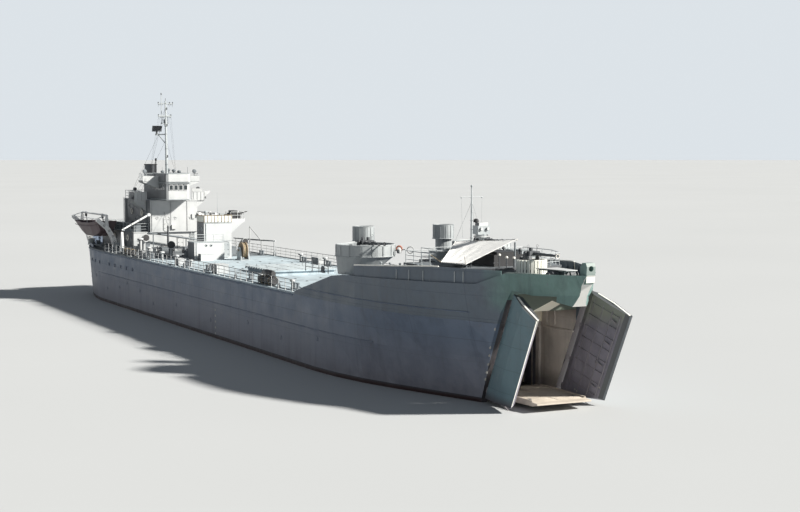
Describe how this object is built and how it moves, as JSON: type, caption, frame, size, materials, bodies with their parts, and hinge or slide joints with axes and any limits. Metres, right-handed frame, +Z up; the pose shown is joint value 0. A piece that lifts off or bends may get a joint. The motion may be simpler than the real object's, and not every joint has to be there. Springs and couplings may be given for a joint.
{
  "type": "1:10 scale model of a tank landing ship",
  "caption": "Flat-bottomed landing ship model at 1:10 with opening bow doors, a bow ramp and an open tank deck, bridge and boats aft.",
  "frame": {"origin": "middle of the flat bottom, halfway between stern and stem", "axes": "+X forward to the stem, +Y to port, +Z up; the waterline is at z = 0.28 m"},
  "size_m": [11.64, 1.76, 2.94],
  "materials": {
    "hull_paint": "semi-gloss slate grey paint with streaks",
    "forecastle_paint": "weathered grey-green paint",
    "deck_paint": "worn light grey non-skid deck paint",
    "white_paint": "pale haze grey paint",
    "house_paint": "haze grey paint",
    "dark_metal": "matt dark grey paint",
    "boat_paint": "dark grey paint",
    "canvas": "sun-bleached canvas",
    "reel_wood": "bare weathered timber",
    "bronze": "dull bronze",
    "bottom_paint": "red-brown anti-fouling paint"
  },
  "bodies": {
    "hull": {"hull": "hull_paint", "tank_deck": "deck_paint", "engine_block": "dark_metal", "main_deck": "deck_paint", "forecastle": "forecastle_paint", "port_gun_tub": "house_paint", "starboard_gun_tub": "house_paint", "port_director_tub": "house_paint", "starboard_director_tub": "house_paint", "bow_gun_tub": "house_paint", "gun_platform": "house_paint", "forward_house": "house_paint", "awning": "canvas", "signal_mast": "house_paint", "forward_director": "house_paint", "anchor_windlass": "dark_metal", "deck_hatch": "deck_paint", "amidships_house": "white_paint", "reel_stand": "house_paint", "main_house": "white_paint", "pilot_house": "white_paint", "flying_bridge": "white_paint", "funnel": "dark_metal", "mast": "house_paint", "starboard_davit_base": "white_paint", "port_davit_base": "white_paint", "starboard_boom_post": "white_paint", "port_boom_post": "white_paint", "stern_house": "house_paint", "stern_anchor_winch": "dark_metal", "starboard_shaft": "bottom_paint", "port_shaft": "bottom_paint", "starboard_bilge_keel": "bottom_paint", "port_bilge_keel": "bottom_paint"},
    "bow_ramp": {"bow_ramp": "dark_metal"},
    "port_bow_door": {"port_bow_door": "hull_paint"},
    "starboard_bow_door": {"starboard_bow_door": "hull_paint"},
    "bow_gun_carriage": {"bow_gun_carriage": "dark_metal"},
    "bow_gun_barrel": {"bow_gun_barrel": "dark_metal"},
    "port_gun_carriage": {"port_gun_carriage": "dark_metal"},
    "port_gun_barrels": {"port_gun_barrels": "dark_metal"},
    "starboard_gun_carriage": {"starboard_gun_carriage": "dark_metal"},
    "starboard_gun_barrels": {"starboard_gun_barrels": "dark_metal"},
    "hawser_reel": {"hawser_reel": "reel_wood"},
    "radar_antenna": {"radar_antenna": "dark_metal"},
    "starboard_boom": {"starboard_boom": "white_paint"},
    "port_boom": {"port_boom": "white_paint"},
    "starboard_propeller": {"starboard_propeller": "bronze"},
    "port_propeller": {"port_propeller": "bronze"},
    "starboard_rudder": {"starboard_rudder": "bottom_paint"},
    "port_rudder": {"port_rudder": "bottom_paint"},
    "starboard_davits": {"starboard_davits": "white_paint", "starboard_boat": "boat_paint"},
    "port_davits": {"port_davits": "white_paint", "port_boat": "boat_paint"}
  },
  "joints": [
    {"name": "bow_ramp_hinge", "type": "hinge", "parent": "hull", "child": "bow_ramp", "pos_m": [4.71, 0, 0.342], "axis": [0, -1, 0], "range_deg": [-8, 90]},
    {"name": "port_bow_door_hinge", "type": "hinge", "parent": "hull", "child": "port_bow_door", "pos_m": [4.87, 0.33, 0.305], "axis": [-0.4617, 0, -0.887], "range_deg": [-4.6, 51.1]},
    {"name": "starboard_bow_door_hinge", "type": "hinge", "parent": "hull", "child": "starboard_bow_door", "pos_m": [4.87, -0.33, 0.305], "axis": [0.4617, 0, 0.887], "range_deg": [-4.6, 51.1]},
    {"name": "bow_gun_train", "type": "hinge", "parent": "hull", "child": "bow_gun_carriage", "pos_m": [5.01, 0, 1.3004], "axis": [0, 0, 1], "range_deg": [-110, 110]},
    {"name": "bow_gun_elevation", "type": "hinge", "parent": "bow_gun_carriage", "child": "bow_gun_barrel", "pos_m": [5.01, 0, 1.4024], "axis": [0, -1, 0], "range_deg": [0, 80]},
    {"name": "port_gun_train", "type": "hinge", "parent": "hull", "child": "port_gun_carriage", "pos_m": [3.255, 0.555, 1.3104], "axis": [0, 0, 1], "range_deg": [-150, 150]},
    {"name": "port_gun_elevation", "type": "hinge", "parent": "port_gun_carriage", "child": "port_gun_barrels", "pos_m": [3.255, 0.555, 1.4084], "axis": [0, -1, 0], "range_deg": [0, 80]},
    {"name": "starboard_gun_train", "type": "hinge", "parent": "hull", "child": "starboard_gun_carriage", "pos_m": [3.255, -0.555, 1.3104], "axis": [0, 0, 1], "range_deg": [-150, 150]},
    {"name": "starboard_gun_elevation", "type": "hinge", "parent": "starboard_gun_carriage", "child": "starboard_gun_barrels", "pos_m": [3.255, -0.555, 1.4084], "axis": [0, -1, 0], "range_deg": [0, 80]},
    {"name": "hawser_reel_turn", "type": "hinge", "parent": "hull", "child": "hawser_reel", "pos_m": [-1.8, 0.205, 1.038], "axis": [0, 1, 0], "continuous": true},
    {"name": "radar_turn", "type": "hinge", "parent": "hull", "child": "radar_antenna", "pos_m": [-4.22235, -0.083, 2.4144], "axis": [0, 0, 1], "continuous": true},
    {"name": "starboard_davit_swing", "type": "hinge", "parent": "hull", "child": "starboard_davits", "pos_m": [-4.97, -0.635, 0.98], "axis": [1, 0, 0], "range_deg": [-5, 40]},
    {"name": "starboard_boom_topping", "type": "hinge", "parent": "hull", "child": "starboard_boom", "pos_m": [-3.765, -0.335, 1.39], "axis": [-1, 0, 0], "range_deg": [0, 60]},
    {"name": "port_davit_swing", "type": "hinge", "parent": "hull", "child": "port_davits", "pos_m": [-4.97, 0.635, 0.98], "axis": [-1, 0, 0], "range_deg": [-5, 40]},
    {"name": "port_boom_topping", "type": "hinge", "parent": "hull", "child": "port_boom", "pos_m": [-3.765, 0.335, 1.39], "axis": [1, 0, 0], "range_deg": [0, 60]},
    {"name": "starboard_propeller_turn", "type": "hinge", "parent": "hull", "child": "starboard_propeller", "pos_m": [-5.13, -0.36, 0.108], "axis": [1, 0, 0], "continuous": true},
    {"name": "port_propeller_turn", "type": "hinge", "parent": "hull", "child": "port_propeller", "pos_m": [-5.13, 0.36, 0.108], "axis": [1, 0, 0], "continuous": true},
    {"name": "starboard_rudder_turn", "type": "hinge", "parent": "hull", "child": "starboard_rudder", "pos_m": [-5.42, -0.36, 0.13], "axis": [0, 0, 1], "range_deg": [-35, 35]},
    {"name": "port_rudder_turn", "type": "hinge", "parent": "hull", "child": "port_rudder", "pos_m": [-5.42, 0.36, 0.13], "axis": [0, 0, 1], "range_deg": [-35, 35]}
  ],
  "couplings": [
    {"joint": "port_bow_door_hinge", "follows": "bow_ramp_hinge", "ratio": 0.56667},
    {"joint": "starboard_bow_door_hinge", "follows": "bow_ramp_hinge", "ratio": 0.56667},
    {"joint": "port_rudder_turn", "follows": "starboard_rudder_turn", "ratio": 1}
  ]
}
